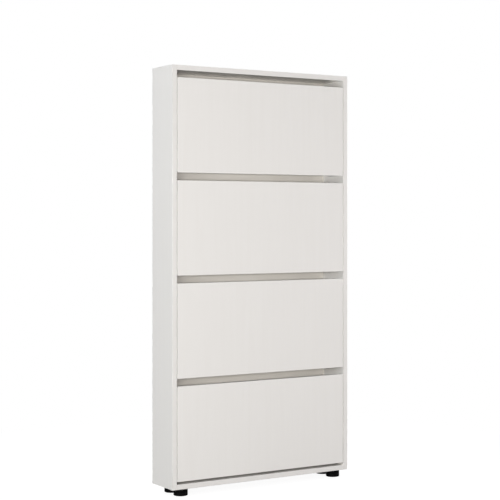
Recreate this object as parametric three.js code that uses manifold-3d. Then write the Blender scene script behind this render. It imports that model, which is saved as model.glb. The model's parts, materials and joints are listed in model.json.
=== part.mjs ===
// Slim tilt-out shoe cabinet: a board carcass on four glide feet with four flaps, one above another.
// Each flap is a front panel on two plastic side brackets that carry a bin floor and a thin bin back;
// it turns on two studs in the side panels and is held between closed and fully open by two stop pegs
// that run in arc slots in the brackets. The finger gap above each front panel is its handle.
// Millimetres, +Z up, front towards -Y, origin on the floor under the middle of the cabinet.
import * as THREE from "three";
import { mergeVertices } from "three/addons/utils/BufferGeometryUtils.js";
import Module from "manifold-3d";

const wasm = await Module();
wasm.setup();

// ---------------------------------------------------------------- driving dimensions
const CABINET_W = 745; // over the side panels
const CABINET_D = 150;
const CARCASS_H = 1475; // side panels, without the feet
const FOOT_H = 25;
const BOARD_T = 18; // side, top and bottom panels
const PANEL_T = 16; // front panels, bin floors and rails

const FLAPS = 4;
const FRONT_H = 331.5; // one front panel
const FINGER_GAP = 26.5; // between one front panel and the next; 24.5 is left over the top one
const FLOOR_GAP = 9; // under the lowest front panel, room for its lower edge to swing
const SIDE_GAP = 2; // between a front panel and a side panel

const BACK_T = 3;
const BACK_FACE = 132; // front of the carcass to the front face of the back panel
const GROOVE_W = 3.6;
const GROOVE_DEEP = 5.4;

const RAIL_H = 60;
const RAIL_LIFT = 8; // rail's lower edge above the lower edge of the front panel before it

const PIVOT_BEHIND = 25; // pivot axis behind the carcass front
const PIVOT_UP = 36; // pivot axis above the lower edge of its front panel
const OPEN_DEG = 40;

const FOOT_R = 25;
const FOOT_FROM_SIDE = 48;
const FOOT_FROM_FRONT = 28.5;
const REAR_FOOT_FROM_FRONT = 96;

// bracket outline, in the flap's own frame: u back from the pivot, v up from the pivot
const BRACKET_T = 3;
const BRACKET_FRONT = -8.7;
const BRACKET_LOW = -29.5;
const BRACKET_REAR_LOW = [86, -18];
const BRACKET_REAR_HIGH = [98.5, 214];
const SLOT_R = 96;
const SLOT_HALF = 4.6;
const PEG_DEG = 80;
const PEG_R = 4;
const STUD_R = 4;
const BEARING = 0.09; // radial clearance of a stud in its boss

// ---------------------------------------------------------------- derived
const HALF_W = CABINET_W / 2;
const INNER = HALF_W - BOARD_T;
const FRONT_Y = -CABINET_D / 2;
const REAR_Y = CABINET_D / 2;
const LOW_Z = FOOT_H;
const HIGH_Z = FOOT_H + CARCASS_H;
const BACK_Y = FRONT_Y + BACK_FACE;
const PIVOT_Y = FRONT_Y + PIVOT_BEHIND;
const BRACKET_OUT = INNER - 2.8; // outer face of a bracket plate
const BRACKET_IN = BRACKET_OUT - BRACKET_T;
const frontBottom = (i) =>
  LOW_Z + BOARD_T + FLOOR_GAP + (FLAPS - i) * (FRONT_H + FINGER_GAP); // flap 1 is the top one
const rad = THREE.MathUtils.degToRad;

// ---------------------------------------------------------------- solids
function solidOf(geometry) {
  const flat = geometry.index ? geometry.toNonIndexed() : geometry;
  const bare = new THREE.BufferGeometry().setAttribute(
    "position",
    flat.getAttribute("position"),
  );
  const merged = mergeVertices(bare, 1e-4);
  return new wasm.Manifold(
    new wasm.Mesh({
      numProp: 3,
      vertProperties: merged.attributes.position.array,
      triVerts: new Uint32Array(merged.index.array),
    }),
  );
}

function geometryOf(solid) {
  const m = solid.getMesh();
  const xyz = new Float32Array((m.vertProperties.length / m.numProp) * 3);
  for (let i = 0; i < xyz.length / 3; i++)
    xyz.set(m.vertProperties.subarray(i * m.numProp, i * m.numProp + 3), i * 3);
  const g = new THREE.BufferGeometry()
    .setAttribute("position", new THREE.BufferAttribute(xyz, 3))
    .setIndex(new THREE.BufferAttribute(m.triVerts, 1))
    .toNonIndexed();
  g.computeVertexNormals();
  return g;
}

const add = (first, ...rest) => rest.reduce((a, b) => a.add(b), first);
const cut = (first, ...rest) => rest.reduce((a, b) => a.subtract(b), first);

// points along an arc about (cu, cv), both ends included
function arcPoints(cu, cv, r, a0, a1, steps) {
  const points = [];
  for (let k = 0; k <= steps; k++) {
    const a = a0 + ((a1 - a0) * k) / steps;
    points.push(new THREE.Vector2(cu + r * Math.cos(a), cv + r * Math.sin(a)));
  }
  return points;
}

// a block between two corners
function block(x0, x1, y0, y1, z0, z1) {
  return new THREE.BoxGeometry(
    Math.abs(x1 - x0),
    Math.abs(y1 - y0),
    Math.abs(z1 - z0),
  ).translate((x0 + x1) / 2, (y0 + y1) / 2, (z0 + z1) / 2);
}

// a shape drawn in (y, z), extruded from x0 to x1
const YZ_TO_WORLD = new THREE.Matrix4().set(
  0, 0, 1, 0,
  1, 0, 0, 0,
  0, 1, 0, 0,
  0, 0, 0, 1,
);
function extrudeX(shape, x0, x1) {
  const lo = Math.min(x0, x1);
  return new THREE.ExtrudeGeometry(shape, {
    depth: Math.abs(x1 - x0),
    bevelEnabled: false,
    curveSegments: 1,
  })
    .applyMatrix4(YZ_TO_WORLD)
    .translate(lo, 0, 0);
}

function rodX(r, x0, x1, y, z, sides = 24) {
  return new THREE.CylinderGeometry(r, r, Math.abs(x1 - x0), sides)
    .rotateZ(Math.PI / 2)
    .translate((x0 + x1) / 2, y, z);
}
function rodY(r, y0, y1, x, z, sides = 16) {
  return new THREE.CylinderGeometry(r, r, Math.abs(y1 - y0), sides).translate(
    x,
    (y0 + y1) / 2,
    z,
  );
}
function rodZ(r, z0, z1, x, y, sides = 24) {
  return new THREE.CylinderGeometry(r, r, Math.abs(z1 - z0), sides)
    .rotateX(Math.PI / 2)
    .translate(x, y, (z0 + z1) / 2);
}

// a turned piece: profile is [radius, height] pairs, turned about Z
function turned(profile, sides) {
  return new THREE.LatheGeometry(
    profile.map(([r, h]) => new THREE.Vector2(r, h)),
    sides,
  ).rotateX(Math.PI / 2);
}

// ---------------------------------------------------------------- materials
const whiteBoard = new THREE.MeshStandardMaterial({
  color: 0xe9e7e3,
  roughness: 0.5,
  metalness: 0,
});
const whiteSheet = new THREE.MeshStandardMaterial({
  color: 0xe2ded7,
  roughness: 0.55,
  metalness: 0,
});
const greyPlastic = new THREE.MeshStandardMaterial({
  color: 0xb9bbbc,
  roughness: 0.45,
  metalness: 0,
});
const blackPlastic = new THREE.MeshStandardMaterial({
  color: 0x0c0c0d,
  roughness: 0.45,
  metalness: 0,
});
const zincSteel = new THREE.MeshStandardMaterial({
  color: 0xb4b6b8,
  roughness: 0.35,
  metalness: 1,
});

const cabinet = new THREE.Group();
cabinet.name = "shoe_cabinet";
function place(parent, name, geometry, material, x = 0, y = 0, z = 0) {
  const mesh = new THREE.Mesh(geometry, material);
  mesh.name = name;
  mesh.position.set(x, y, z);
  parent.add(mesh);
  return mesh;
}

// ---------------------------------------------------------------- carcass boards
const PEG_Y = PIVOT_Y + SLOT_R * Math.cos(rad(PEG_DEG));
const PEG_UP = SLOT_R * Math.sin(rad(PEG_DEG));

for (const [name, s] of [
  ["side_panel_left", -1],
  ["side_panel_right", 1],
]) {
  let board = solidOf(
    block(s * INNER, s * HALF_W, FRONT_Y, REAR_Y, LOW_Z, HIGH_Z),
  );
  // groove for the back panel, the full height of the board
  board = cut(
    board,
    solidOf(
      block(
        s * (INNER - 1),
        s * (INNER + GROOVE_DEEP),
        BACK_Y - 0.3,
        BACK_Y - 0.3 + GROOVE_W,
        LOW_Z - 1,
        HIGH_Z + 1,
      ),
    ),
  );
  // blind bores for the studs and the stop pegs
  for (let i = 1; i <= FLAPS; i++) {
    const z = frontBottom(i) + PIVOT_UP;
    board = cut(
      board,
      solidOf(
        rodX(STUD_R + 0.3, s * (INNER - 1), s * (INNER + 11), PIVOT_Y, z, 12),
      ),
      solidOf(
        rodX(
          PEG_R + 0.3,
          s * (INNER - 1),
          s * (INNER + 11),
          PEG_Y,
          z + PEG_UP,
          12,
        ),
      ),
    );
  }
  place(cabinet, name, geometryOf(board), whiteBoard);
}

// blind bores for the cam locks, in the lower face of the top panel and of the bottom panel
const CAM_X = INNER - 34;
const BOTTOM_CAM_X = INNER - 62; // inboard of the feet
const CAM_Y = FRONT_Y + 62;
const CAM_R = 7.5;
const CAM_H = 12.5;
const camBore = (x, face) =>
  solidOf(rodZ(CAM_R + 0.3, face - 1, face + CAM_H + 0.4, x, CAM_Y, 16));
{
  let top = solidOf(
    block(-INNER, INNER, FRONT_Y, REAR_Y, HIGH_Z - BOARD_T, HIGH_Z),
  );
  top = cut(
    top,
    solidOf(
      block(
        -INNER - 1,
        INNER + 1,
        BACK_Y - 0.3,
        BACK_Y - 0.3 + GROOVE_W,
        HIGH_Z - BOARD_T - 1,
        HIGH_Z - BOARD_T + GROOVE_DEEP,
      ),
    ),
    camBore(-CAM_X, HIGH_Z - BOARD_T),
    camBore(CAM_X, HIGH_Z - BOARD_T),
  );
  place(cabinet, "top_panel", geometryOf(top), whiteBoard);
}

const FEET = [
  ["front_left", -1, FOOT_FROM_FRONT],
  ["front_right", 1, FOOT_FROM_FRONT],
  ["rear_left", -1, REAR_FOOT_FROM_FRONT],
  ["rear_right", 1, REAR_FOOT_FROM_FRONT],
].map(([at, s, back]) => [at, s * (HALF_W - FOOT_FROM_SIDE), FRONT_Y + back]);
{
  let bottom = solidOf(
    block(-INNER, INNER, FRONT_Y, REAR_Y, LOW_Z, LOW_Z + BOARD_T),
  );
  bottom = cut(
    bottom,
    solidOf(
      block(
        -INNER - 1,
        INNER + 1,
        BACK_Y - 0.3,
        BACK_Y - 0.3 + GROOVE_W,
        LOW_Z + BOARD_T - GROOVE_DEEP,
        LOW_Z + BOARD_T + 1,
      ),
    ),
  );
  for (const [, x, y] of FEET)
    bottom = cut(bottom, solidOf(rodZ(2.5, LOW_Z - 1, LOW_Z + 13, x, y, 12)));
  bottom = cut(bottom, camBore(-BOTTOM_CAM_X, LOW_Z), camBore(BOTTOM_CAM_X, LOW_Z));
  place(cabinet, "bottom_panel", geometryOf(bottom), whiteBoard);
}

place(
  cabinet,
  "back_panel",
  block(
    -INNER - 5,
    INNER + 5,
    BACK_Y,
    BACK_Y + BACK_T,
    LOW_Z + BOARD_T - 5,
    HIGH_Z - BOARD_T + 5,
  ),
  whiteSheet,
);

// rails that tie the side panels together behind the three upper flaps
for (let i = 1; i < FLAPS; i++)
  place(
    cabinet,
    "stretcher_rail_" + i,
    block(
      -INNER,
      INNER,
      BACK_Y - 0.3 - PANEL_T,
      BACK_Y - 0.3,
      frontBottom(i) + RAIL_LIFT,
      frontBottom(i) + RAIL_LIFT + RAIL_H,
    ),
    whiteBoard,
  );

// ---------------------------------------------------------------- cam locks, flush with the faces they are bored into
for (const [at, x, face] of [
  ["top_left", -CAM_X, HIGH_Z - BOARD_T],
  ["top_right", CAM_X, HIGH_Z - BOARD_T],
  ["bottom_left", -BOTTOM_CAM_X, LOW_Z],
  ["bottom_right", BOTTOM_CAM_X, LOW_Z],
]) {
  const cam = cut(
    solidOf(rodZ(CAM_R, 0, CAM_H, 0, 0, 16)),
    solidOf(block(-4.5, 4.5, -0.8, 0.8, -1, 2)),
  );
  place(cabinet, "cam_lock_" + at, geometryOf(cam), zincSteel, x, CAM_Y, face);
}

// ---------------------------------------------------------------- feet and their screws
for (const [at, x, y] of FEET) {
  const foot = turned(
    [
      [5.2, 0],
      [FOOT_R - 1.8, 0],
      [FOOT_R, 1.8],
      [FOOT_R, FOOT_H - 0.1],
      [2.5, FOOT_H - 0.1],
      [2.5, 14],
      [5.2, 14],
      [5.2, 0],
    ],
    28,
  );
  place(cabinet, "foot_" + at, foot, blackPlastic, x, y, 0);
  const screw = turned(
    [
      [0, 10.8],
      [3.4, 10.8],
      [4.7, 12],
      [4.7, 13.7],
      [2.1, 13.7],
      [2.1, FOOT_H + 11],
      [0, FOOT_H + 12.6],
    ],
    12,
  );
  place(cabinet, "foot_screw_" + at, screw, zincSteel, x, y, 0);
}

// ---------------------------------------------------------------- wall hangers in the recess behind the back panel
for (const [side, x] of [
  ["left", -250],
  ["right", 250],
]) {
  const high = HIGH_Z - BOARD_T - 0.3;
  const hanger = cut(
    add(
      solidOf(block(-18, 18, REAR_Y - 13.5, REAR_Y, high - 2, high)),
      solidOf(block(-18, 18, REAR_Y - 2, REAR_Y, high - 46, high)),
    ),
    solidOf(rodY(5, REAR_Y - 3, REAR_Y + 1, 0, high - 32, 14)),
    solidOf(block(-2.6, 2.6, REAR_Y - 3, REAR_Y + 1, high - 32, high - 18)),
    solidOf(rodY(2.6, REAR_Y - 3, REAR_Y + 1, 0, high - 18, 10)),
    solidOf(rodZ(2.3, high - 3, high + 1, -10, REAR_Y - 8, 8)),
    solidOf(rodZ(2.3, high - 3, high + 1, 10, REAR_Y - 8, 8)),
  );
  place(cabinet, "wall_hanger_" + side, geometryOf(hanger), zincSteel, x, 0, 0);
}

// ---------------------------------------------------------------- flap pieces, drawn about the pivot
const rearAt = (v) =>
  BRACKET_REAR_LOW[0] +
  ((BRACKET_REAR_HIGH[0] - BRACKET_REAR_LOW[0]) * (v - BRACKET_REAR_LOW[1])) /
    (BRACKET_REAR_HIGH[1] - BRACKET_REAR_LOW[1]);
const FAN_R = Math.hypot(...BRACKET_REAR_HIGH);

// the plate: straight along the front panel, sloping at the rear, a fan arc on top
function bracketOutline() {
  return new THREE.Shape([
    new THREE.Vector2(BRACKET_FRONT, BRACKET_LOW),
    new THREE.Vector2(74, BRACKET_LOW),
    new THREE.Vector2(81.5, -27.2),
    new THREE.Vector2(...BRACKET_REAR_LOW),
    ...arcPoints(
      0,
      0,
      FAN_R,
      Math.atan2(BRACKET_REAR_HIGH[1], BRACKET_REAR_HIGH[0]),
      Math.acos(BRACKET_FRONT / FAN_R),
      7,
    ),
  ]);
}

// a band along the sloping rear edge, from a to b mm in from it
function rearBand(a, b, v0, v1) {
  const s = new THREE.Shape();
  s.moveTo(rearAt(v0) - a, v0);
  s.lineTo(rearAt(v1) - a, v1);
  s.lineTo(rearAt(v1) - b, v1);
  s.lineTo(rearAt(v0) - b, v0);
  s.closePath();
  return s;
}

// a band of the fan between two radii and two angles
function arcBand(r0, r1, a0, a1) {
  return new THREE.Shape([
    ...arcPoints(0, 0, r1, a0, a1, 7),
    ...arcPoints(0, 0, r0, a1, a0, 7),
  ]);
}

// an arc slot with round ends
function arcSlot(r, half, a0, a1) {
  const end0 = [r * Math.cos(a0), r * Math.sin(a0)];
  const end1 = [r * Math.cos(a1), r * Math.sin(a1)];
  return new THREE.Shape([
    ...arcPoints(0, 0, r + half, a0, a1, 8).slice(0, -1),
    ...arcPoints(...end1, half, a1, a1 + Math.PI, 6).slice(0, -1),
    ...arcPoints(0, 0, r - half, a1, a0, 8).slice(0, -1),
    ...arcPoints(...end0, half, a0 + Math.PI, a0 + 2 * Math.PI, 6).slice(0, -1),
  ]);
}

// the peg stands this much (as an angle) inside the slot's end circles at both limits
const PEG_SHY = 0.3 / SLOT_R;
function bracket(s) {
  const out = s * BRACKET_OUT,
    inn = s * BRACKET_IN;
  const to = (w) => s * (BRACKET_IN - w);
  let b = add(
    solidOf(extrudeX(bracketOutline(), out, inn)),
    // flange along the front panel
    solidOf(
      block(out, to(22), BRACKET_FRONT, BRACKET_FRONT + 3, BRACKET_LOW, 228),
    ),
    // ledge under the bin floor
    solidOf(block(out, to(14), BRACKET_FRONT, 76, BRACKET_LOW, -26.3)),
    // two ribs that hold the edge of the bin back
    solidOf(extrudeX(rearBand(0, 2, -14, 212), out, to(9))),
    solidOf(extrudeX(rearBand(5.6, 7.6, -9.7, 212), out, to(9))),
    // rib along the fan arc
    solidOf(
      extrudeX(
        arcBand(FAN_R - 3.4, FAN_R - 0.9, rad(68), Math.acos(-8 / FAN_R)),
        out,
        to(5),
      ),
    ),
    // pivot boss
    solidOf(rodX(8.4, out, to(7), 0, 0, 20)),
  );
  b = cut(
    b,
    solidOf(rodX(STUD_R + BEARING, s * (BRACKET_OUT + 1), to(8), 0, 0, 20)),
    solidOf(
      extrudeX(
        arcSlot(
          SLOT_R,
          SLOT_HALF,
          rad(PEG_DEG - OPEN_DEG) + PEG_SHY,
          rad(PEG_DEG) - PEG_SHY,
        ),
        s * (BRACKET_OUT + 1),
        s * (BRACKET_IN - 1),
      ),
    ),
    // screw holes in the flange
    ...[14, 112, 210].map((v) =>
      solidOf(
        rodY(
          2.3,
          BRACKET_FRONT - 1,
          BRACKET_FRONT + 4,
          to(12),
          v,
          8,
        ),
      ),
    ),
  );
  return geometryOf(b);
}

// a stud for the pivot: shank in the side panel, thrust collar, pin in the bracket's boss
function stud(s) {
  return turned(
    [
      [0, 0],
      [STUD_R, 0],
      [STUD_R, 10.5],
      [7, 10.5],
      [7, 12.9],
      [STUD_R, 12.9],
      [STUD_R, 21.4],
      [STUD_R - 0.8, 22.2],
      [0, 22.2],
    ],
    16,
  ).rotateY((-s * Math.PI) / 2);
}
function peg(s) {
  return turned(
    [
      [0, 0],
      [PEG_R, 0],
      [PEG_R, 10.5],
      [6.4, 10.5],
      [6.4, 12.4],
      [PEG_R, 12.4],
      [PEG_R, 18.6],
      [PEG_R - 1, 19.6],
      [0, 19.6],
    ],
    16,
  ).rotateY((-s * Math.PI) / 2);
}

for (let i = 1; i <= FLAPS; i++) {
  const z = frontBottom(i) + PIVOT_UP;
  const flap = new THREE.Group();
  flap.position.set(0, PIVOT_Y, z);
  cabinet.add(flap);

  place(
    flap,
    "front_panel_" + i,
    block(
      -INNER + SIDE_GAP,
      INNER - SIDE_GAP,
      -PIVOT_BEHIND,
      -PIVOT_BEHIND + PANEL_T,
      -PIVOT_UP,
      FRONT_H - PIVOT_UP,
    ),
    whiteBoard,
  );
  place(flap, "bracket_left_" + i, bracket(-1), greyPlastic);
  place(flap, "bracket_right_" + i, bracket(1), greyPlastic);
  const inside = BRACKET_IN - 0.3;
  place(
    flap,
    "bin_floor_" + i,
    block(-inside, inside, BRACKET_FRONT + 3.3, 80.2, -26, -26 + PANEL_T),
    whiteBoard,
  );
  place(
    flap,
    "bin_back_" + i,
    extrudeX(rearBand(2.3, 5.3, -13, 224), -inside, inside),
    whiteSheet,
  );

  for (const [side, s] of [
    ["left", -1],
    ["right", 1],
  ]) {
    place(
      cabinet,
      "pivot_stud_" + side + "_" + i,
      stud(s),
      greyPlastic,
      s * (INNER + 10.5),
      PIVOT_Y,
      z,
    );
    place(
      cabinet,
      "stop_peg_" + side + "_" + i,
      peg(s),
      greyPlastic,
      s * (INNER + 10.5),
      PEG_Y,
      z + PEG_UP,
    );
  }
}

export default cabinet;
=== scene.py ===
"""Slim white tilt-out shoe cabinet: the looks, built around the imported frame.

Lengths in the helpers are millimetres in the row frame (x right, y back, z up); meshes are written in metres.
"""

import json
import math

import bmesh
import bpy
from mathutils import Matrix, Vector


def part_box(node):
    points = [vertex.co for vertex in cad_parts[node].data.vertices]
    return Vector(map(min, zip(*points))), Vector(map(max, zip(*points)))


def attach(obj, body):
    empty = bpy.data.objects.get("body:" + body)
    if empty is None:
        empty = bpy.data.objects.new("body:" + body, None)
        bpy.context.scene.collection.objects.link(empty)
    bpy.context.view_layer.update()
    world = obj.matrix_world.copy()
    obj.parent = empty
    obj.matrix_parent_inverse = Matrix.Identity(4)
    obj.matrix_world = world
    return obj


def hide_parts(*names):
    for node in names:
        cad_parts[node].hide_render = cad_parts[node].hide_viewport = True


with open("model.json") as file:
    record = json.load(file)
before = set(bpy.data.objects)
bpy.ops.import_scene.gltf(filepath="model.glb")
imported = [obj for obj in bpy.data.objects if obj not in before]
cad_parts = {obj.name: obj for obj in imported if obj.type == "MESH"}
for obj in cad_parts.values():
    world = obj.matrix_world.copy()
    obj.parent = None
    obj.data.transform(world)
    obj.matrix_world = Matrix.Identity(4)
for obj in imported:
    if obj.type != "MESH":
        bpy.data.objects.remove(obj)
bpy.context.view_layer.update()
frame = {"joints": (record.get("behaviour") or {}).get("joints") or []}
MM = 0.001
scene = bpy.context.scene

JOINTS = {j["child"]: j for j in frame["joints"]}
FLAPS = (1, 2, 3, 4)
SIDES = (("left", -1), ("right", 1))


def box_mm(node):
    lo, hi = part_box(node)
    return [v / MM for v in lo], [v / MM for v in hi]


def pivot_mm(i):
    return [v / MM for v in JOINTS[f"flap_{i}"]["pos_m"]]


# ------------------------------------------------------------------ node helpers
class Nodes:
    """A material's node tree, with short ways to add to it."""

    def __init__(self, name):
        self.material = bpy.data.materials.new(name)
        self.material.use_nodes = True
        self.tree = self.material.node_tree
        self.tree.nodes.clear()
        self.out = self.tree.nodes.new("ShaderNodeOutputMaterial")
        self.shader = self.tree.nodes.new("ShaderNodeBsdfPrincipled")
        self.link(self.shader.outputs["BSDF"], self.out.inputs["Surface"])
        self.coords = self.tree.nodes.new("ShaderNodeTexCoord").outputs["Object"]

    def link(self, a, b):
        self.tree.links.new(a, b)

    def put(self, socket, value):
        if isinstance(value, bpy.types.NodeSocket):
            self.link(value, socket)
        else:
            socket.default_value = value

    def scaled(self, scale, rotate=(0, 0, 0)):
        n = self.tree.nodes.new("ShaderNodeMapping")
        self.link(self.coords, n.inputs["Vector"])
        n.inputs["Scale"].default_value = scale
        n.inputs["Rotation"].default_value = rotate
        return n.outputs["Vector"]

    def noise(self, vector, scale, detail=2.0, rough=0.5, distortion=0.0):
        n = self.tree.nodes.new("ShaderNodeTexNoise")
        self.link(vector, n.inputs["Vector"])
        n.inputs["Scale"].default_value = scale
        n.inputs["Detail"].default_value = detail
        n.inputs["Roughness"].default_value = rough
        n.inputs["Distortion"].default_value = distortion
        return n.outputs["Fac"]

    def voronoi(self, vector, scale, feature="F1", random=1.0):
        n = self.tree.nodes.new("ShaderNodeTexVoronoi")
        n.feature = feature
        self.link(vector, n.inputs["Vector"])
        n.inputs["Scale"].default_value = scale
        n.inputs["Randomness"].default_value = random
        return n

    def ramp(self, fac, stops):
        n = self.tree.nodes.new("ShaderNodeValToRGB")
        self.link(fac, n.inputs["Fac"])
        els = n.color_ramp.elements
        while len(els) < len(stops):
            els.new(0.5)
        for e, (at, c) in zip(els, stops):
            e.position = at
            e.color = (
                (*c, 1.0) if isinstance(c, (tuple, list)) else (c, c, c, 1.0)
            )
        return n.outputs["Color"]

    def fit(self, value, lo, hi, a=0.0, b=1.0):
        n = self.tree.nodes.new("ShaderNodeMapRange")
        n.inputs["From Min"].default_value = a
        n.inputs["From Max"].default_value = b
        n.inputs["To Min"].default_value = lo
        n.inputs["To Max"].default_value = hi
        self.link(value, n.inputs["Value"])
        return n.outputs["Result"]

    def math(self, op, a, b=0.0, c=None):
        n = self.tree.nodes.new("ShaderNodeMath")
        n.operation = op
        self.put(n.inputs[0], a)
        self.put(n.inputs[1], b)
        if c is not None:
            self.put(n.inputs[2], c)
        return n.outputs[0]

    def mix(self, fac, a, b, blend="MIX"):
        n = self.tree.nodes.new("ShaderNodeMix")
        n.data_type = "RGBA"
        n.blend_type = blend
        self.put(n.inputs["Factor"], fac)
        for socket, value in ((n.inputs["A"], a), (n.inputs["B"], b)):
            pass
        a_in = [s for s in n.inputs if s.name == "A" and s.type == "RGBA"][0]
        b_in = [s for s in n.inputs if s.name == "B" and s.type == "RGBA"][0]
        self.put(a_in, a if isinstance(a, bpy.types.NodeSocket) else (*a, 1.0))
        self.put(b_in, b if isinstance(b, bpy.types.NodeSocket) else (*b, 1.0))
        return [s for s in n.outputs if s.type == "RGBA"][0]

    def bump(self, height, distance, strength=1.0, under=None):
        n = self.tree.nodes.new("ShaderNodeBump")
        n.inputs["Distance"].default_value = distance
        n.inputs["Strength"].default_value = strength
        self.link(height, n.inputs["Height"])
        if under is not None:
            self.link(under, n.inputs["Normal"])
        return n.outputs["Normal"]

    def finish(self, color, roughness, normal=None, metallic=0.0, specular=0.5):
        p = self.shader.inputs
        self.put(
            p["Base Color"],
            color if isinstance(color, bpy.types.NodeSocket) else (*color, 1.0),
        )
        self.put(p["Roughness"], roughness)
        p["Metallic"].default_value = metallic
        p["Specular IOR Level"].default_value = specular
        if normal is not None:
            self.link(normal, p["Normal"])
        return self.material


# ------------------------------------------------------------------ materials
WHITE = (0.872, 0.865, 0.846)


def tint(c, k, warm=0.0):
    return (c[0] * k, c[1] * k * (1 - 0.4 * warm), c[2] * k * (1 - warm))


def laminate(name, base, along="z", rough=0.46, relief=1.0):
    """Melamine face: off-white, a fine orange-peel emboss with short shallow pores that run along one axis."""
    n = Nodes(name)
    stretch = {"x": (0.06, 1, 1), "y": (1, 0.06, 1), "z": (1, 1, 0.06)}[along]
    pores = n.noise(n.scaled(stretch), 1100.0, 3.0, 0.55, 0.4)
    pore = n.fit(pores, 0.0, 1.0, 0.60, 0.70)
    grain = n.noise(n.scaled([s * (0.5 if s == 1 else 0.35) for s in stretch]), 90.0, 4.0, 0.6, 1.2)
    cloud = n.noise(n.coords, 5.0, 2.0, 0.5)
    peel = n.noise(n.coords, 2300.0, 2.0, 0.5)
    tone = n.mix(n.fit(grain, 0.0, 1.0, 0.35, 0.7), tint(base, 1.006), tint(base, 0.987, 0.006))
    tone = n.mix(n.fit(cloud, 0.0, 0.55, 0.3, 0.75), tone, tint(base, 0.99, 0.004))
    tone = n.mix(n.math("MULTIPLY", pore, 0.2), tone, tint(base, 0.93, 0.01))
    roughness = n.math(
        "ADD", n.fit(peel, rough * 0.91, rough * 1.11, 0.3, 0.7), n.math("MULTIPLY", pore, 0.08)
    )
    normal = n.bump(peel, 0.00002 * relief, 0.55)
    normal = n.bump(n.math("SUBTRACT", 1.0, pore), 0.00003 * relief, 0.35, normal)
    return n.finish(tone, roughness, normal, specular=0.45)


def edge_band(name, base):
    """The strip glued round a board's edge: the board's colour, a touch brighter and smoother, with fine drag lines."""
    n = Nodes(name)
    fine = n.noise(n.scaled((1, 1, 0.05)), 1500.0, 2.0, 0.5)
    cloud = n.noise(n.coords, 22.0, 2.0, 0.5)
    tone = n.mix(n.fit(cloud, 0.0, 1.0, 0.3, 0.7), tint(base, 0.985), tint(base, 0.965, 0.004))
    roughness = n.fit(fine, 0.34, 0.44, 0.3, 0.7)
    return n.finish(tone, roughness, n.bump(fine, 0.00001, 0.4), specular=0.5)


def chip_core(name):
    """Bare particle board where a groove, bore or unbanded edge shows it."""
    n = Nodes(name)
    big = n.voronoi(n.scaled((1, 1, 0.55)), 420.0)
    small = n.voronoi(n.scaled((1, 1, 0.7)), 1250.0)
    shade = n.tree.nodes.new("ShaderNodeSeparateColor")
    n.link(big.outputs["Color"], shade.inputs["Color"])
    shade2 = n.tree.nodes.new("ShaderNodeSeparateColor")
    n.link(small.outputs["Color"], shade2.inputs["Color"])
    wood = n.ramp(
        shade.outputs["Red"],
        [(0.0, (0.30, 0.19, 0.095)), (0.4, (0.47, 0.33, 0.19)), (0.8, (0.58, 0.44, 0.28)), (1.0, (0.66, 0.53, 0.36))],
    )
    dust = n.ramp(
        shade2.outputs["Green"],
        [(0.0, (0.34, 0.22, 0.12)), (0.6, (0.53, 0.39, 0.24)), (1.0, (0.62, 0.49, 0.33))],
    )
    tone = n.mix(0.45, wood, dust)
    pits = n.noise(n.coords, 1500.0, 3.0, 0.6)
    normal = n.bump(big.outputs["Distance"], 0.0002, 0.5)
    normal = n.bump(pits, 0.00012, 0.6, normal)
    return n.finish(tone, n.fit(pits, 0.72, 0.9), normal, specular=0.25)


def hardboard(name):
    """Thin fibreboard's bare side: warm brown fibres with a fine screen imprint."""
    n = Nodes(name)
    fibre = n.noise(n.scaled((1, 1, 0.45), (0, 0.5, 0)), 700.0, 6.0, 0.65, 1.5)
    cloud = n.noise(n.coords, 9.0, 4.0, 0.55)
    fleck = n.noise(n.scaled((0.35, 1, 1)), 900.0, 2.0, 0.5)
    tone = n.ramp(
        fibre, [(0.25, (0.235, 0.145, 0.078)), (0.5, (0.315, 0.205, 0.118)), (0.8, (0.40, 0.275, 0.168))]
    )
    tone = n.mix(n.fit(cloud, 0.0, 0.45, 0.3, 0.7), tone, (0.36, 0.235, 0.135))
    tone = n.mix(n.fit(fleck, 0.0, 0.7, 0.66, 0.74), tone, (0.15, 0.085, 0.045))
    waves = []
    for direction in ("X", "Z"):
        w = n.tree.nodes.new("ShaderNodeTexWave")
        w.bands_direction = direction
        w.inputs["Scale"].default_value = 200.0
        w.inputs["Distortion"].default_value = 0.6
        n.link(n.coords, w.inputs["Vector"])
        waves.append(w.outputs["Fac"])
    screen = n.math("MULTIPLY", waves[0], waves[1])
    normal = n.bump(screen, 0.00012, 0.5)
    normal = n.bump(fibre, 0.00006, 0.5, normal)
    return n.finish(tone, n.fit(fibre, 0.66, 0.84), normal, specular=0.3)


def foil(name, base):
    """White printed foil on thin fibreboard: flatter than melamine, faint roller mottle."""
    n = Nodes(name)
    cloud = n.noise(n.coords, 14.0, 3.0, 0.5)
    fine = n.noise(n.coords, 1700.0, 2.0, 0.5)
    tone = n.mix(n.fit(cloud, 0.0, 1.0, 0.3, 0.7), tint(base, 1.005), tint(base, 0.98, 0.008))
    return n.finish(tone, n.fit(fine, 0.5, 0.6), n.bump(fine, 0.00002, 0.4), specular=0.4)


def moulded(name, base, rough, grain=1600.0, depth=0.00004, specular=0.5):
    """Injection-moulded plastic: spark-eroded grain, slow flow marks."""
    n = Nodes(name)
    vdi = n.voronoi(n.coords, grain).outputs["Distance"]
    fine = n.noise(n.coords, grain * 1.6, 3.0, 0.6)
    flow = n.noise(n.scaled((1, 1, 0.4)), 16.0, 3.0, 0.5, 0.8)
    tone = n.mix(n.fit(flow, 0.0, 1.0, 0.3, 0.7), tint(base, 1.03), tint(base, 0.955))
    normal = n.bump(vdi, depth, 0.45)
    normal = n.bump(fine, depth * 0.5, 0.45, normal)
    return n.finish(tone, n.fit(fine, rough - 0.05, rough + 0.07, 0.3, 0.7), normal, specular=specular)


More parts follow.
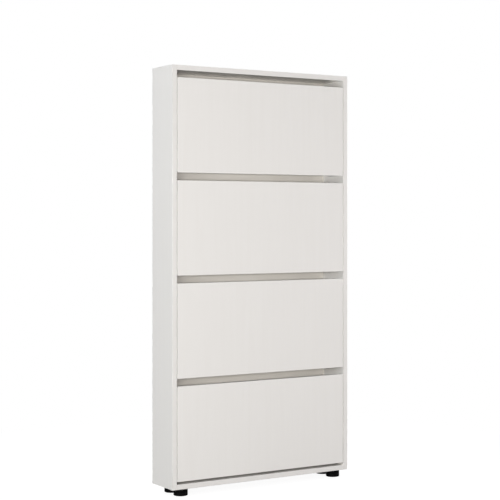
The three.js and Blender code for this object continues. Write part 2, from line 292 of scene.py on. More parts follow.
def zinc(name, base, rough=0.34):
    """Zinc plate: bright grey metal, small crystal patches and a fine drag."""
    n = Nodes(name)
    cell = n.voronoi(n.coords, 700.0)
    split = n.tree.nodes.new("ShaderNodeSeparateColor")
    n.link(cell.outputs["Color"], split.inputs["Color"])
    drag = n.noise(n.scaled((1, 1, 0.08)), 1800.0, 3.0, 0.6)
    haze = n.noise(n.coords, 60.0, 3.0, 0.5)
    tone = n.mix(split.outputs["Red"], tint(base, 0.94), tint(base, 1.05))
    tone = n.mix(n.fit(haze, 0.0, 0.35, 0.45, 0.75), tone, tint(base, 0.82, 0.05))
    roughness = n.math(
        "ADD", n.fit(split.outputs["Green"], rough - 0.05, rough + 0.06), n.fit(drag, 0.0, 0.08, 0.3, 0.7)
    )
    return n.finish(tone, roughness, n.bump(drag, 0.00001, 0.5), metallic=1.0)


LAM_Z = laminate("melamine_white_upright", WHITE, "z")
# A lighter copy of the same white melamine for the horizontal boards: painted light, so the boards seen in the gaps
# read brighter than their shade leaves them. It is also smoother, with less emboss.
LAM_X_PAINTED_LIGHTER = laminate("melamine_white_across_painted_lighter", (0.91, 0.897, 0.868), "x", 0.12, 0.12)
BAND = edge_band("edge_band_white", WHITE)
CORE = chip_core("particle_board_core")
BROWN = hardboard("hardboard_brown")
# The backing foil's base is a darker, warmer white than the melamine. It is set so the sheets seen in the shaded gaps
# read tan-grey: painted shade on a white sheet.
FOIL_PAINTED_SHADE = foil("foil_white_painted_shade", (0.83, 0.806, 0.75))
GREY = moulded("plastic_light_grey", (0.48, 0.49, 0.50), 0.42)
BLACK = moulded("plastic_black", (0.0030, 0.0030, 0.0032), 0.55, 1400.0, 0.00005, 0.05)
ZINC = zinc("zinc_plated_steel", (0.56, 0.565, 0.57))
CAST = zinc("zinc_die_cast", (0.50, 0.505, 0.51), 0.42)


# ------------------------------------------------------------------ mesh helpers
def new_object(name, bm, materials=()):
    mesh = bpy.data.meshes.new(name)
    bmesh.ops.transform(bm, matrix=Matrix.Scale(MM, 4), verts=bm.verts)
    bm.to_mesh(mesh)
    bm.free()
    for m in materials:
        mesh.materials.append(m)
    ob = bpy.data.objects.new(name, mesh)
    scene.collection.objects.link(ob)
    return ob


def apply_modifiers(ob):
    deps = bpy.context.evaluated_depsgraph_get()
    deps.update()
    made = bpy.data.meshes.new_from_object(ob.evaluated_get(deps))
    old = ob.data
    ob.modifiers.clear()
    ob.data = made
    made.name = ob.name
    if old.users == 0:
        bpy.data.meshes.remove(old)
    return ob


def drop(*objects):
    for o in objects:
        mesh = o.data
        bpy.data.objects.remove(o)
        if mesh.users == 0:
            bpy.data.meshes.remove(mesh)


def boolean(ob, others, operation="DIFFERENCE"):
    """Cuts the others out of ob, or adds them to it, one at a time, and removes them."""
    for o in others:
        mod = ob.modifiers.new("b", "BOOLEAN")
        mod.operation = operation
        mod.solver = "EXACT"
        mod.object = o
    apply_modifiers(ob)
    drop(*others)
    return ob


def clean(ob, dist=1e-6):
    bm = bmesh.new()
    bm.from_mesh(ob.data)
    bmesh.ops.remove_doubles(bm, verts=bm.verts, dist=dist)
    bmesh.ops.dissolve_degenerate(bm, dist=dist, edges=bm.edges)
    bmesh.ops.recalc_face_normals(bm, faces=bm.faces)
    bm.to_mesh(ob.data)
    bm.free()
    return ob


def smooth(ob, degrees=32):
    mesh = ob.data
    for p in mesh.polygons:
        p.use_smooth = True
    mesh.set_sharp_from_angle(angle=math.radians(degrees))
    return ob


def block(name, x0, x1, y0, y1, z0, z1, materials=()):
    bm = bmesh.new()
    bmesh.ops.create_cube(bm, size=1.0)
    lo = (min(x0, x1), min(y0, y1), min(z0, z1))
    hi = (max(x0, x1), max(y0, y1), max(z0, z1))
    for v in bm.verts:
        v.co = [lo[k] + (v.co[k] + 0.5) * (hi[k] - lo[k]) for k in range(3)]
    return new_object(name, bm, materials)


AXIS_TURN = {
    "+x": Matrix.Rotation(math.radians(90), 4, "Y"),
    "-x": Matrix.Rotation(math.radians(-90), 4, "Y"),
    "+y": Matrix.Rotation(math.radians(-90), 4, "X"),
    "-y": Matrix.Rotation(math.radians(90), 4, "X"),
    "+z": Matrix.Identity(4),
    "-z": Matrix.Rotation(math.radians(180), 4, "X"),
}


def lathe(name, profile, sides, at=(0, 0, 0), along="+z", materials=(), closed=False):
    """Turns a profile of (radius, height) points about an axis. With closed, the profile is a ring that meets itself."""
    bm = bmesh.new()
    rings = []
    for r, h in profile:
        if r < 1e-9:
            rings.append([bm.verts.new((0, 0, h))])
        else:
            rings.append(
                [
                    bm.verts.new((r * math.cos(2 * math.pi * k / sides), r * math.sin(2 * math.pi * k / sides), h))
                    for k in range(sides)
                ]
            )
    pairs = list(zip(rings, rings[1:])) + ([(rings[-1], rings[0])] if closed else [])
    for a, b in pairs:
        for k in range(sides):
            m = (k + 1) % sides
            if len(a) == 1 and len(b) == 1:
                continue
            if len(a) == 1:
                bm.faces.new((a[0], b[m], b[k]))
            elif len(b) == 1:
                bm.faces.new((a[k], a[m], b[0]))
            else:
                bm.faces.new((a[k], a[m], b[m], b[k]))
    bmesh.ops.recalc_face_normals(bm, faces=bm.faces)
    bmesh.ops.transform(bm, matrix=Matrix.Translation(at) @ AXIS_TURN[along], verts=bm.verts)
    return new_object(name, bm, materials)


def rod(name, r, a, b, along, at, sides=32):
    """A cylinder from a to b along an axis, through the point at."""
    k = "xyz".index(along)
    start = list(at)
    start[k] = min(a, b)
    return lathe(name, [(0, 0), (r, 0), (r, abs(b - a)), (0, abs(b - a))], sides, start, "+" + along)


def extrude_yz(name, points, x0, x1, materials=()):
    """A prism: an outline in (y, z), from x0 to x1."""
    bm = bmesh.new()
    lo, hi = min(x0, x1), max(x0, x1)
    a = [bm.verts.new((lo, y, z)) for y, z in points]
    b = [bm.verts.new((hi, y, z)) for y, z in points]
    bm.faces.new(a)
    bm.faces.new(list(reversed(b)))
    for k in range(len(points)):
        m = (k + 1) % len(points)
        bm.faces.new((a[k], b[k], b[m], a[m]))
    bmesh.ops.recalc_face_normals(bm, faces=bm.faces)
    return new_object(name, bm, materials)


def arc(cu, cv, r, a0, a1, steps):
    return [
        (cu + r * math.cos(a0 + (a1 - a0) * k / steps), cv + r * math.sin(a0 + (a1 - a0) * k / steps))
        for k in range(steps + 1)
    ]


def bevel(ob, width, segments=2, degrees=35):
    mod = ob.modifiers.new("bevel", "BEVEL")
    mod.width = width * MM
    mod.segments = segments
    mod.limit_method = "ANGLE"
    mod.angle_limit = math.radians(degrees)
    mod.use_clamp_overlap = True
    mod.miter_outer = "MITER_ARC"
    return apply_modifiers(ob)


# ------------------------------------------------------------------ boards
SIDE_NAMES = {(0, -1): "-x", (0, 1): "+x", (1, -1): "-y", (1, 1): "+y", (2, -1): "-z", (2, 1): "+z"}


def board(name, node, body, thick, banded, cutters=(), face=LAM_Z, r=0.9, back=None, back_side=None):
    """A faced board in the box of its CAD node. banded lists the edges that carry an edge band and are rounded with it;
    the other edges are sawn and show the core. back gives one broad face another material."""
    lo, hi = box_mm(node)
    bm = bmesh.new()
    bmesh.ops.create_cube(bm, size=1.0)
    for v in bm.verts:
        v.co = [lo[k] + (v.co[k] + 0.5) * (hi[k] - lo[k]) for k in range(3)]
    weight = bm.edges.layers.float.new("bevel_weight_edge")
    t = "xyz".index(thick)
    for e in bm.edges:
        sides = set()
        for f in e.link_faces:
            k = max(range(3), key=lambda q: abs(f.normal[q]))
            sides.add(SIDE_NAMES[(k, 1 if f.normal[k] > 0 else -1)])
        edges = [s for s in sides if s[1] != thick]
        e[weight] = 1.0 if all(s in banded for s in edges) else 0.22
    ob = new_object(name, bm, (face, BAND, CORE) + ((back,) if back else ()))
    mod = ob.modifiers.new("round", "BEVEL")
    mod.width = r * MM
    mod.segments = 4
    mod.limit_method = "WEIGHT"
    apply_modifiers(ob)
    if cutters:
        boolean(ob, list(cutters))
    mesh = ob.data
    tl, th = lo[t] * MM, hi[t] * MM
    near = 0.00002
    for p in mesh.polygons:
        c, nrm = p.center, p.normal
        k = max(range(3), key=lambda q: abs(nrm[q]))
        flat = abs(nrm[k]) > 0.9999
        on_low, on_high = abs(c[t] - tl) < near, abs(c[t] - th) < near
        if flat and k == t and (on_low or on_high):
            p.material_index = 0
            if back and ((on_low and back_side < 0) or (on_high and back_side > 0)):
                p.material_index = 3
        else:
            index = 2
            for q in range(3):
                if q == t:
                    continue
                for side, at in ((-1, lo[q]), (1, hi[q])):
                    if abs(c[q] - at * MM) <= r * MM * 1.02 and SIDE_NAMES[(q, side)] in banded:
                        if flat and k == q and abs(c[q] - at * MM) < near:
                            index = 1
                        elif not flat:
                            index = 1
            p.material_index = index
        p.use_smooth = not flat
    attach(ob, body)
    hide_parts(node)
    return ob


GROOVE_W, GROOVE_DEEP = 3.6, 5.4
side_lo, side_hi = box_mm("side_panel_left")
right_lo, right_hi = box_mm("side_panel_right")
top_lo, top_hi = box_mm("top_panel")
bottom_lo, bottom_hi = box_mm("bottom_panel")
back_lo, back_hi = box_mm("back_panel")
INNER = top_hi[0]
GROOVE_Y = back_lo[1] - 0.3

for side, s in SIDES:
    cutters = [
        block(
            "c",
            s * (INNER - 1),
            s * (INNER + GROOVE_DEEP),
            GROOVE_Y,
            GROOVE_Y + GROOVE_W,
            side_lo[2] - 1,
            side_hi[2] + 1,
        )
    ]
    for i in FLAPS:
        for kind in ("pivot_stud", "stop_peg"):
            lo, hi = box_mm(f"{kind}_{side}_{i}")
            y, z = (lo[1] + hi[1]) / 2, (lo[2] + hi[2]) / 2
            cutters.append(rod("c", 4.3, s * (INNER - 1), s * (INNER + 11), "x", (0, y, z), 24))
    board(
        f"side_board_{side}",
        f"side_panel_{side}",
        "cabinet",
        "x",
        ("-y", "-z", "+z"),
        cutters,
    )

HANGER_X = 250
cutters = [
    block(
        "c",
        top_lo[0] - 1,
        top_hi[0] + 1,
        GROOVE_Y,
        GROOVE_Y + GROOVE_W,
        top_lo[2] - 1,
        top_lo[2] + GROOVE_DEEP,
    )
]
for at in ("top_left", "top_right"):
    lo, hi = box_mm("cam_lock_" + at)
    cutters.append(
        rod("c", 7.8, top_lo[2] - 1, top_lo[2] + 12.9, "z", ((lo[0] + hi[0]) / 2, (lo[1] + hi[1]) / 2, 0), 40)
    )
for s in (-1, 1):
    for d in (-10, 10):
        cutters.append(rod("c", 1.95, top_lo[2] - 1, top_lo[2] + 11, "z", (s * HANGER_X + d, 67, 0), 16))
board("top_board", "top_panel", "cabinet", "z", ("-y",), cutters, face=LAM_X_PAINTED_LIGHTER)

cutters = [
    block(
        "c",
        bottom_lo[0] - 1,
        bottom_hi[0] + 1,
        GROOVE_Y,
        GROOVE_Y + GROOVE_W,
        bottom_hi[2] - GROOVE_DEEP,
        bottom_hi[2] + 1,
    )
]
for at in ("bottom_left", "bottom_right"):
    lo, hi = box_mm("cam_lock_" + at)
    cutters.append(
        rod("c", 7.8, bottom_lo[2] - 1, bottom_lo[2] + 12.9, "z", ((lo[0] + hi[0]) / 2, (lo[1] + hi[1]) / 2, 0), 40)
    )
FEET = ("front_left", "front_right", "rear_left", "rear_right")
for at in FEET:
    lo, hi = box_mm("foot_" + at)
    cutters.append(
        rod("c", 2.5, bottom_lo[2] - 1, bottom_lo[2] + 13, "z", ((lo[0] + hi[0]) / 2, (lo[1] + hi[1]) / 2, 0), 20)
    )
board("bottom_board", "bottom_panel", "cabinet", "z", ("-y",), cutters, face=LAM_X_PAINTED_LIGHTER)

for i in (1, 2, 3):
    board(f"rail_{i}", f"stretcher_rail_{i}", "cabinet", "y", ("-z", "+z"), face=LAM_X_PAINTED_LIGHTER)

FLANGE_SCREWS = (14, 112, 210)  # above the pivot
for i in FLAPS:
    body = f"flap_{i}"
    py, pz = pivot_mm(i)[1:]
    flo, fhi = box_mm(f"front_panel_{i}")
    b_lo, b_hi = box_mm(f"bracket_right_{i}")
    screw_x = b_hi[0] - 3 - 12
    pilot = [
        rod("c", 1.7, fhi[1] - 12, fhi[1] + 1, "y", (s * screw_x, 0, pz + v), 16)
        for s in (-1, 1)
        for v in FLANGE_SCREWS
    ]
    board(f"front_board_{i}", f"front_panel_{i}", body, "y", ("-x", "+x", "-z", "+z"), pilot)
    board(f"bin_floor_board_{i}", f"bin_floor_{i}", body, "z", ("-y", "+y"), face=LAM_X_PAINTED_LIGHTER, r=0.6)


# ------------------------------------------------------------------ thin sheets
def sheet_board(name, node, body, outline, x0, x1, round_edge=0.35):
    """A thin fibreboard sheet: white foil in front, brown behind and on its sawn edges."""
    ob = extrude_yz(name, outline, x0, x1, (FOIL_PAINTED_SHADE, BROWN))
    bevel(ob, round_edge, 2, 60)
    for p in ob.data.polygons:
        front = p.normal.y < -0.9 and abs(p.normal.x) < 0.2
        p.material_index = 0 if front else 1
        p.use_smooth = False
    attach(ob, body)
    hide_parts(node)
    return ob


sheet_board(
    "back_sheet",
    "back_panel",
    "cabinet",
    [(back_lo[1], back_lo[2]), (back_hi[1], back_lo[2]), (back_hi[1], back_hi[2]), (back_lo[1], back_hi[2])],
    back_lo[0],
    back_hi[0],
)

# the flap's rear line, about the pivot
REAR_LOW, REAR_HIGH = (86.0, -18.0), (98.5, 214.0)


def rear_at(v):
    return REAR_LOW[0] + (REAR_HIGH[0] - REAR_LOW[0]) * (v - REAR_LOW[1]) / (REAR_HIGH[1] - REAR_LOW[1])


def rear_band(a, b, v0, v1):
    return [(rear_at(v0) - b, v0), (rear_at(v0) - a, v0), (rear_at(v1) - a, v1), (rear_at(v1) - b, v1)]


for i in FLAPS:
    py, pz = pivot_mm(i)[1:]
    lo, hi = box_mm(f"bin_back_{i}")
    outline = [(py + u, pz + v) for u, v in rear_band(2.3, 5.3, -13, 224)]
    sheet_board(f"bin_back_sheet_{i}", f"bin_back_{i}", f"flap_{i}", outline, lo[0], hi[0])


# ------------------------------------------------------------------ flap brackets
BR_OUT, BR_T = INNER - 2.8, 3.0
BR_IN = BR_OUT - BR_T
BR_FRONT, BR_LOW = -8.7, -29.5
FAN_R = math.hypot(*REAR_HIGH)
SLOT_R, SLOT_HALF = 96.0, 4.6
PEG_DEG, OPEN_DEG = 80.0, 40.0
PEG_SHY = 0.3 / SLOT_R


def slot_outline(grow=0.0):
    a0 = math.radians(PEG_DEG - OPEN_DEG) + PEG_SHY
    a1 = math.radians(PEG_DEG) - PEG_SHY
    h = SLOT_HALF + grow
    e0 = (SLOT_R * math.cos(a0), SLOT_R * math.sin(a0))
    e1 = (SLOT_R * math.cos(a1), SLOT_R * math.sin(a1))
    return (
        arc(0, 0, SLOT_R + h, a0, a1, 24)[:-1]
        + arc(*e1, h, a1, a1 + math.pi, 14)[:-1]
        + arc(0, 0, SLOT_R - h, a1, a0, 24)[:-1]
        + arc(*e0, h, a0 + math.pi, a0 + 2 * math.pi, 14)[:-1]
    )


def bracket_mesh(s):
    """One side bracket about its pivot at the origin, as a finished mesh."""
    out, inn = s * BR_OUT, s * BR_IN

    def to(w):
        return s * (BR_IN - w)

    a_rear = math.atan2(REAR_HIGH[1], REAR_HIGH[0])
    a_front = math.acos(BR_FRONT / FAN_R)
    outline = (
        [(BR_FRONT, BR_LOW), (74, BR_LOW)]
        + [(77.8, -28.9), (81.5, -27.2), (84.3, -23.6), REAR_LOW]
        + arc(0, 0, FAN_R - 0.3, a_rear, a_front, 40)
    )
    ob = extrude_yz("bracket", outline, out, inn)
    parts = [
        block("p", out, to(22), BR_FRONT, BR_FRONT + 3, BR_LOW, 228),
        block("p", out, to(14), BR_FRONT + 0.5, 76, BR_LOW, -26.3),
        extrude_yz("p", rear_band(0.02, 2, -14, 212), out, to(9)),
        extrude_yz("p", rear_band(5.6, 7.6, -9.7, 212), out, to(9)),
        extrude_yz(
            "p",
            arc(0, 0, FAN_R - 0.9, math.radians(68), math.acos(-8 / FAN_R), 40)
            + arc(0, 0, FAN_R - 3.4, math.acos(-8 / FAN_R), math.radians(68), 40),
            out,
            to(5),
        ),
        rod("p", 8.4, out, to(7), "x", (0, 0, 0), 48),
        # a low rib round the slot, and spokes from the pivot boss
        extrude_yz("p", slot_outline(4.2), out, to(1.2)),
    ]
    for a0, a1, r0, r1 in ((30, 30, 8, 84), (58, 58, 8, 86)):
        c, sn = math.cos(math.radians(a0)), math.sin(math.radians(a0))
        w = 0.9
        parts.append(
            extrude_yz(
                "p",
                [
                    (r0 * c + w * sn, r0 * sn - w * c),
                    (r1 * c + w * sn, r1 * sn - w * c),
                    (r1 * c - w * sn, r1 * sn + w * c),
                    (r0 * c - w * sn, r0 * sn + w * c),
                ],
                out,
                to(2.4),
            )
        )
    for a in (50, 66, 82):
        c, sn = math.cos(math.radians(a)), math.sin(math.radians(a))
        w, r0, r1 = 0.8, 108, FAN_R - 2
        parts.append(
            extrude_yz(
                "p",
                [
                    (r0 * c + w * sn, r0 * sn - w * c),
                    (r1 * c + w * sn, r1 * sn - w * c),
                    (r1 * c - w * sn, r1 * sn + w * c),
                    (r0 * c - w * sn, r0 * sn + w * c),
                ],
                out,
                to(1.6),
            )
        ) if a > 60 else None
    # gussets between the flange and the plate
    for v in (-2, 62, 160):
        bm = bmesh.new()
        w = 0.9
        tri = [(inn - s * 0.2, BR_FRONT + 2.9), (to(17), BR_FRONT + 2.9), (inn - s * 0.2, BR_FRONT + 15)]
        a = [bm.verts.new((x, y, v - w)) for x, y in tri]
        b = [bm.verts.new((x, y, v + w)) for x, y in tri]
        bm.faces.new(a)
        bm.faces.new(list(reversed(b)))
        for k in range(3):
            m = (k + 1) % 3
            bm.faces.new((a[k], b[k], b[m], a[m]))
        bmesh.ops.recalc_face_normals(bm, faces=bm.faces)
        parts.append(new_object("p", bm))
    boolean(ob, parts, "UNION")
    cutters = [
        rod("c", 4.09, s * (BR_OUT + 1), to(8), "x", (0, 0, 0), 48),
        extrude_yz("c", slot_outline(), s * (BR_OUT + 1), to(3)),
    ] + [rod("c", 2.3, BR_FRONT - 1, BR_FRONT + 4, "y", (to(12), 0, v), 24) for v in FLANGE_SCREWS]
    boolean(ob, cutters)
    clean(ob, 2e-6)
    smooth(ob, 32)
    ob.data.materials.clear()
    ob.data.materials.append(GREY)
    mesh = ob.data
    bpy.data.objects.remove(ob)
    return mesh


BRACKETS = {s: bracket_mesh(s) for _, s in SIDES}


def instance(name, mesh, at, body, node=None, turn=None):
    ob = bpy.data.objects.new(name, mesh)
    scene.collection.objects.link(ob)
    ob.matrix_world = Matrix.Translation([v * MM for v in at]) @ (turn or Matrix.Identity(4))
    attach(ob, body)
    if node:
        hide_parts(node)
    return ob


for i in FLAPS:
    py, pz = pivot_mm(i)[1:]
    for side, s in SIDES:
        instance(
            f"flap_bracket_{side}_{i}", BRACKETS[s], (0, py, pz), f"flap_{i}", f"bracket_{side}_{i}"
        )


# ------------------------------------------------------------------ studs and pegs
def fillet(points, r=0.5, steps=3):
    """Rounds the inner corners of a profile of (radius, height) points."""
    done = [points[0]]
    for a, b, c in zip(points, points[1:], points[2:]):
        va, vc = Vector(a) - Vector(b), Vector(c) - Vector(b)
        k = min(r, va.length * 0.45, vc.length * 0.45)
        if b[0] < 1e-6 or k < 1e-4:
            done.append(b)
            continue
        p, q = Vector(b) + va.normalized() * k, Vector(b) + vc.normalized() * k
        for n in range(steps + 1):
            t = n / steps
            done.append(tuple(p * (1 - t) ** 2 + Vector(b) * 2 * t * (1 - t) + q * t * t))
    done.append(points[-1])
    return done


def finished(ob, material, degrees=32):
    clean(ob)
    smooth(ob, degrees)
    ob.data.materials.clear()
    ob.data.materials.append(material)
    mesh = ob.data
    bpy.data.objects.remove(ob)
    return mesh


def stud_mesh():
    ob = lathe(
        "stud",
        fillet(
            [(0, 0), (3.2, 0), (4, 1.2), (4, 10.5), (7, 10.5), (7, 12.9), (4, 12.9), (4, 21.4), (3.0, 22.2), (0, 22.2)],
            0.35,
        ),
        48,
    )
    # a split end with a driver slot
    boolean(ob, [block("c", -0.6, 0.6, -9, 9, 18.4, 30)])
    return finished(ob, GREY)


def peg_mesh():
    ob = lathe(
        "peg",
        fillet(
            [(0, 0), (3.2, 0), (4, 1.2), (4, 10.5), (6.4, 10.5), (6.4, 12.4), (4, 12.4), (4, 18.6), (3.0, 19.6), (0, 19.6)],
            0.35,
        ),
        48,
    )
    return finished(ob, GREY)


STUD, PEG = stud_mesh(), peg_mesh()
for i in FLAPS:
    for side, s in SIDES:
        for kind, mesh, name in (("pivot_stud", STUD, "flap_stud"), ("stop_peg", PEG, "flap_peg")):
            lo, hi = box_mm(f"{kind}_{side}_{i}")
            at = (s * (INNER + 10.5), (lo[1] + hi[1]) / 2, (lo[2] + hi[2]) / 2)
            instance(
                f"{name}_{side}_{i}",
                mesh,
                at,
                "cabinet",
                f"{kind}_{side}_{i}",
                AXIS_TURN["-x" if s > 0 else "+x"],
            )


# ------------------------------------------------------------------ screws
def cross_cutters(r, top, depth):
    """A cross recess: two tapered blades that cross on the axis, from top down by depth."""
    made = []
    for q in range(2):
        bm = bmesh.new()
        half, thin = r, r * 0.2
        up = [(half, thin), (-half, thin), (-half, -thin), (half, -thin)]
        lo = [(x * 0.3, y * 0.8) for x, y in up]
        a = [bm.verts.new((x, y, top + 0.3)) for x, y in up]
        b = [bm.verts.new((x, y, top - depth)) for x, y in lo]
        bm.faces.new(a)
        bm.faces.new(list(reversed(b)))
        for k in range(4):
            m = (k + 1) % 4
            bm.faces.new((a[k], b[k], b[m], a[m]))
        bmesh.ops.recalc_face_normals(bm, faces=bm.faces)
        bmesh.ops.rotate(bm, verts=bm.verts, cent=(0, 0, 0), matrix=Matrix.Rotation(math.radians(90 * q), 3, "Z"))
        made.append(new_object("c", bm))
    return made


def pan_screw(head_r, head_h, shank_r, length):
    """A pan-head screw: seat at z 0, head above it, threaded shank below."""
    dome = [
        (0, head_h),
        (head_r * 0.45, head_h * 0.97),
        (head_r * 0.75, head_h * 0.82),
        (head_r * 0.95, head_h * 0.5),
        (head_r, head_h * 0.22),
        (head_r, 0.0),
        (shank_r, 0.0),
    ]
    pitch, z = 1.4, -0.8
    shank = [(shank_r * 0.78, -0.5)]
    while z > -length + 2.2:
        shank += [(shank_r * 0.78, z), (shank_r, z - pitch * 0.35), (shank_r * 0.78, z - pitch * 0.7)]
        z -= pitch
    shank += [(shank_r * 0.7, -length + 1.6), (0, -length)]
    ob = lathe("screw", list(reversed(dome + shank)), 32)
    boolean(ob, cross_cutters(head_r * 0.62, head_h, head_h * 0.72))
    return finished(ob, ZINC, 38)


BRACKET_SCREW = pan_screw(4.0, 2.3, 1.65, 14.0)
for i in FLAPS:
    py, pz = pivot_mm(i)[1:]
    for side, s in SIDES:
        for k, v in enumerate(FLANGE_SCREWS):
            instance(
                f"bracket_screw_{side}_{i}_{'abc'[k]}",
                BRACKET_SCREW,
                (s * (BR_IN - 12), py + BR_FRONT + 3.02, pz + v),
                f"flap_{i}",
                None,
                AXIS_TURN["+y"] @ Matrix.Rotation(math.radians(17 + 31 * k + 47 * i + (20 if s > 0 else 0)), 4, "Z"),
            )


# ------------------------------------------------------------------ wall hangers
def hanger_mesh():
    """A bent steel angle about the middle of its top: flat leg under the top panel, upright leg with a keyhole."""
    lo, hi = box_mm("wall_hanger_left")
    y1, z1 = hi[1], hi[2]
    y0, z0 = lo[1], lo[2]
    t, ri = 2.0, 1.2
    ro = ri + t
    outline = (
        [(y0, z1), (y0, z1 - t)]
        + arc(y1 - ro, z1 - ro, ri, math.radians(90), 0, 8)
        + [(y1 - t, z0), (y1, z0)]
        + arc(y1 - ro, z1 - ro, ro, 0, math.radians(90), 10)
    )
    ob = extrude_yz("hanger", outline, -18, 18)
    cutters = [
        rod("c", 5.0, y1 - 4, y1 + 1, "y", (0, 0, z1 - 32), 40),
        block("c", -2.6, 2.6, y1 - 4, y1 + 1, z1 - 32, z1 - 18),
        rod("c", 2.6, y1 - 4, y1 + 1, "y", (0, 0, z1 - 18), 24),
        rod("c", 2.3, z1 - 4, z1 + 1, "z", (-10, y1 - 8, 0), 24),
        rod("c", 2.3, z1 - 4, z1 + 1, "z", (10, y1 - 8, 0), 24),
    ]
    # clipped lower corners
    for q in (-1, 1):
        bm = bmesh.new()
        tri = [(q * 18.5, z0 - 0.5), (q * 13, z0 - 0.5), (q * 18.5, z0 + 5)]
        a = [bm.verts.new((x, y1 - 5, z)) for x, z in tri]
        b = [bm.verts.new((x, y1 + 1, z)) for x, z in tri]
        bm.faces.new(a)
        bm.faces.new(list(reversed(b)))
        for k in range(3):
            m = (k + 1) % 3
            bm.faces.new((a[k], b[k], b[m], a[m]))
        bmesh.ops.recalc_face_normals(bm, faces=bm.faces)
        cutters.append(new_object("c", bm))
    boolean(ob, cutters)
    clean(ob)
    bevel(ob, 0.25, 2, 40)
    return finished(ob, ZINC, 35)


HANGER = hanger_mesh()
HANGER_SCREW = pan_screw(3.9, 2.2, 1.9, 12.0)
h_lo, h_hi = box_mm("wall_hanger_left")
for side, s in SIDES:
    instance(f"hanger_{side}", HANGER, (s * HANGER_X, 0, 0), "cabinet", f"wall_hanger_{side}")
    for k, d in enumerate((-10, 10)):
        instance(
            f"hanger_screw_{side}_{'ab'[k]}",
            HANGER_SCREW,
            (s * HANGER_X + d, h_hi[1] - 8, h_hi[2] - 2.02),
            "cabinet",
            None,
            AXIS_TURN["-z"] @ Matrix.Rotation(math.radians(25 + 40 * k), 4, "Z"),
        )


# ------------------------------------------------------------------ cam locks
def cam_mesh():
    """A die-cast cam flush with the board, cross recess and pointer in its face, seen from below (face at z 0)."""
    ob = lathe(
        "cam",
        fillet([(0, 0), (7.5, 0), (7.5, 3.2), (6.9, 3.2), (6.9, 9.2), (7.5, 9.2), (7.5, 12.5), (0, 12.5)], 0.3),
        64,
    )
    cutters = [block("c", -4.6, 4.6, -0.75, 0.75, -1, 2.2), block("c", -0.75, 0.75, -4.6, 4.6, -1, 2.2)]
    bm = bmesh.new()
    tri = [(5.2, -1.1), (5.2, 1.1), (6.9, 0)]
    a = [bm.verts.new((x, y, -1)) for x, y in tri]
    b = [bm.verts.new((x, y, 0.5)) for x, y in tri]
    bm.faces.new(a)
    bm.faces.new(list(reversed(b)))
    for k in range(3):
        m = (k + 1) % 3
        bm.faces.new((a[k], b[k], b[m], a[m]))
    bmesh.ops.recalc_face_normals(bm, faces=bm.faces)
    cutters.append(new_object("c", bm))
    boolean(ob, cutters)
    return finished(ob, CAST, 35)


CAM = cam_mesh()
for k, at in enumerate(("top_left", "top_right", "bottom_left", "bottom_right")):
    lo, hi = box_mm("cam_lock_" + at)
    instance(
        "cam_" + at,
        CAM,
        ((lo[0] + hi[0]) / 2, (lo[1] + hi[1]) / 2, lo[2]),
        "cabinet",
        "cam_lock_" + at,
        Matrix.Rotation(math.radians((180 if "left" in at else 0) + 8 * (k - 1)), 4, "Z"),
    )


# ------------------------------------------------------------------ feet
def foot_mesh():
    lo, hi = box_mm("foot_front_left")
    r, h = (hi[0] - lo[0]) / 2, hi[2]
    profile = (
        [(5.2, 0.4), (5.6, 0.0), (r - 2.6, 0.0)]
        + arc(r - 2.6, 2.6, 2.6, math.radians(-90), 0, 8)[1:]
        + [(r, h * 0.5 - 0.25), (r - 0.12, h * 0.5), (r, h * 0.5 + 0.25)]
        + arc(r - 1.2, h - 1.2, 1.2, 0, math.radians(90), 5)
        + [(2.5, h), (2.5, 14), (5.2, 14)]
    )
    ob = lathe("foot", profile, 96, closed=True)
    return finished(ob, BLACK, 34)


def foot_screw_mesh():
    lo, hi = box_mm("foot_screw_front_left")
    head, tip = lo[2], hi[2]
    shank_r, head_r = 2.1, 4.7
    profile = [(0, head), (3.2, head), (4.2, head + 0.5), (head_r, head + 1.3), (head_r, 13.7), (shank_r * 0.8, 13.7)]
    z = 16.0
    while z < tip - 4:
        profile += [(shank_r * 0.78, z), (shank_r, z + 0.55), (shank_r * 0.78, z + 1.1)]
        z += 1.6
    profile += [(shank_r * 0.7, tip - 2.2), (0, tip)]
    ob = lathe("foot_screw", profile, 32)
    cutters = []
    for q in range(2):
        c = block("c", -2.9, 2.9, -0.6, 0.6, head - 1, head + 1.9)
        if q:
            c.data.transform(Matrix.Rotation(math.radians(90), 4, "Z"))
        cutters.append(c)
    boolean(ob, cutters)
    return finished(ob, ZINC, 38)


FOOT, FOOT_SCREW = foot_mesh(), foot_screw_mesh()
for k, at in enumerate(FEET):
    lo, hi = box_mm("foot_" + at)
    x, y = (lo[0] + hi[0]) / 2, (lo[1] + hi[1]) / 2
    instance("glide_" + at, FOOT, (x, y, 0), "cabinet", "foot_" + at)
    instance(
        "glide_screw_" + at,
        FOOT_SCREW,
        (x, y, 0),
        "cabinet",
        "foot_screw_" + at,
        Matrix.Rotation(math.radians(15 + 28 * k), 4, "Z"),
    )


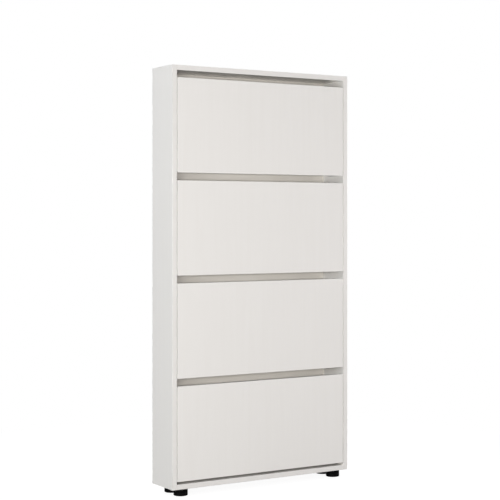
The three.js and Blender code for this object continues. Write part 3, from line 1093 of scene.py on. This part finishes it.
# ------------------------------------------------------------------ floor, light, camera
def floor(name, z, glow, color):
    """A wide flat disc. Part of its light is its own and the rest is what falls on it, so the object's shadow is faint;
    away from the object it fades to plain white."""
    bm = bmesh.new()
    bmesh.ops.create_circle(bm, cap_ends=True, segments=96, radius=26000.0)
    bmesh.ops.translate(bm, verts=bm.verts, vec=(0, 0, z))
    ob = new_object(name, bm)
    n = Nodes(name)
    n.tree.nodes.remove(n.shader)
    diffuse = n.tree.nodes.new("ShaderNodeBsdfDiffuse")
    diffuse.inputs["Color"].default_value = (*color, 1.0)
    surface = diffuse.outputs[0]
    if glow:
        own, far = n.tree.nodes.new("ShaderNodeEmission"), n.tree.nodes.new("ShaderNodeEmission")
        own.inputs["Strength"].default_value = glow
        far.inputs["Strength"].default_value = 1.0
        near = n.tree.nodes.new("ShaderNodeAddShader")
        n.link(surface, near.inputs[0])
        n.link(own.outputs[0], near.inputs[1])
        length = n.tree.nodes.new("ShaderNodeVectorMath")
        length.operation = "LENGTH"
        n.link(n.coords, length.inputs[0])
        mix = n.tree.nodes.new("ShaderNodeMixShader")
        n.link(n.fit(length.outputs["Value"], 0.0, 1.0, 0.45, 1.6), mix.inputs["Fac"])
        n.link(near.outputs[0], mix.inputs[1])
        n.link(far.outputs[0], mix.inputs[2])
        surface = mix.outputs[0]
    n.link(surface, n.out.inputs["Surface"])
    ob.data.materials.append(n.material)
    return ob


# the floor that is seen is near white and lights nothing; the one that gives the bounce lies just under it
seen = floor("floor_seen", 0.0, 0.92, (0.20, 0.20, 0.20))
seen.visible_diffuse = seen.visible_glossy = seen.visible_transmission = seen.visible_shadow = False
bounce = floor("floor_bounce", -0.5, 0.0, (0.26, 0.257, 0.251))
bounce.visible_camera = False

world = bpy.data.worlds.new("studio")
scene.world = world
world.use_nodes = True
w = world.node_tree
background = w.nodes["Background"]
background.inputs["Color"].default_value = (1.0, 1.0, 1.0, 1.0)
rays = w.nodes.new("ShaderNodeLightPath")
strength = w.nodes.new("ShaderNodeMapRange")
strength.inputs["To Min"].default_value = 0.2
strength.inputs["To Max"].default_value = 1.0
w.links.new(rays.outputs["Is Camera Ray"], strength.inputs["Value"])
w.links.new(strength.outputs["Result"], background.inputs["Strength"])


def softbox(name, azimuth, distance, height, size, radiance, color=(1, 1, 1), aim=1.0):
    """A soft rectangular light round the object; azimuth 0 is straight in front, negative to its left."""
    a = math.radians(azimuth)
    at = Vector((math.sin(a) * distance, -math.cos(a) * distance, height))
    light = bpy.data.lights.new(name, "AREA")
    light.shape = "RECTANGLE"
    light.size, light.size_y = size
    light.energy = radiance * math.pi * size[0] * size[1]
    light.color = color
    ob = bpy.data.objects.new(name, light)
    scene.collection.objects.link(ob)
    ob.location = at
    ob.rotation_mode = "QUATERNION"
    ob.rotation_quaternion = (Vector((0, 0, aim)) - at).to_track_quat("-Z", "Y")
    ob.visible_camera = False
    return ob


softbox("key", -35, 5.0, 0.97, (1.6, 0.4), 38.2, (1.045, 1.0, 0.935))
softbox("key_left", -55, 5.0, 0.97, (1.6, 0.4), 21.6, (1.01, 1.0, 0.98))
softbox("left", -75, 5.0, 0.97, (1.6, 0.4), 23.8, (0.98, 0.995, 1.02))
softbox("left_high", -92, 3.0, 3.2, (1.6, 0.9), 5.3, (0.96, 1.0, 1.08))
softbox("front", 5, 5.0, 0.97, (1.6, 0.4), 14.7, (1.05, 1.0, 1.03))
softbox("right", 45, 5.0, 0.97, (1.6, 0.4), 8.0, (1.02, 0.99, 0.98))
softbox("right_side", 70, 5.0, 0.97, (1.6, 0.4), 27.5, (1.0, 0.99, 1.04))
softbox("high", -5, 6.0, 3.4, (2.4, 1.2), 1.2, (1.0, 1.0, 1.0), 0.75)
softbox("over", 150, 1.6, 4.4, (2.0, 2.0), 4.0, (1.0, 1.0, 1.0), 1.4)
softbox("rear", 172, 6.0, 2.4, (2.4, 1.6), 11.0, (1.0, 1.0, 1.0), 0.75)
softbox("rear_right", 120, 6.0, 1.8, (2.4, 1.6), 5.0, (1.0, 1.0, 1.0), 0.75)


scene.view_settings.view_transform = "Standard"
scene.view_settings.look = "None"
scene.view_settings.exposure = 0.0
scene.view_settings.gamma = 1.0

cam = bpy.data.cameras.new("camera")
cam.sensor_width = 36.0
cam.lens = 94.67
cam.shift_y = -0.0638
cam.clip_start, cam.clip_end = 0.05, 60.0
camera = bpy.data.objects.new("camera", cam)
scene.collection.objects.link(camera)
camera.location = (-2.532, -4.086, 0.968)
camera.rotation_euler = (math.radians(90), 0.0, math.radians(-31.676))
scene.camera = camera
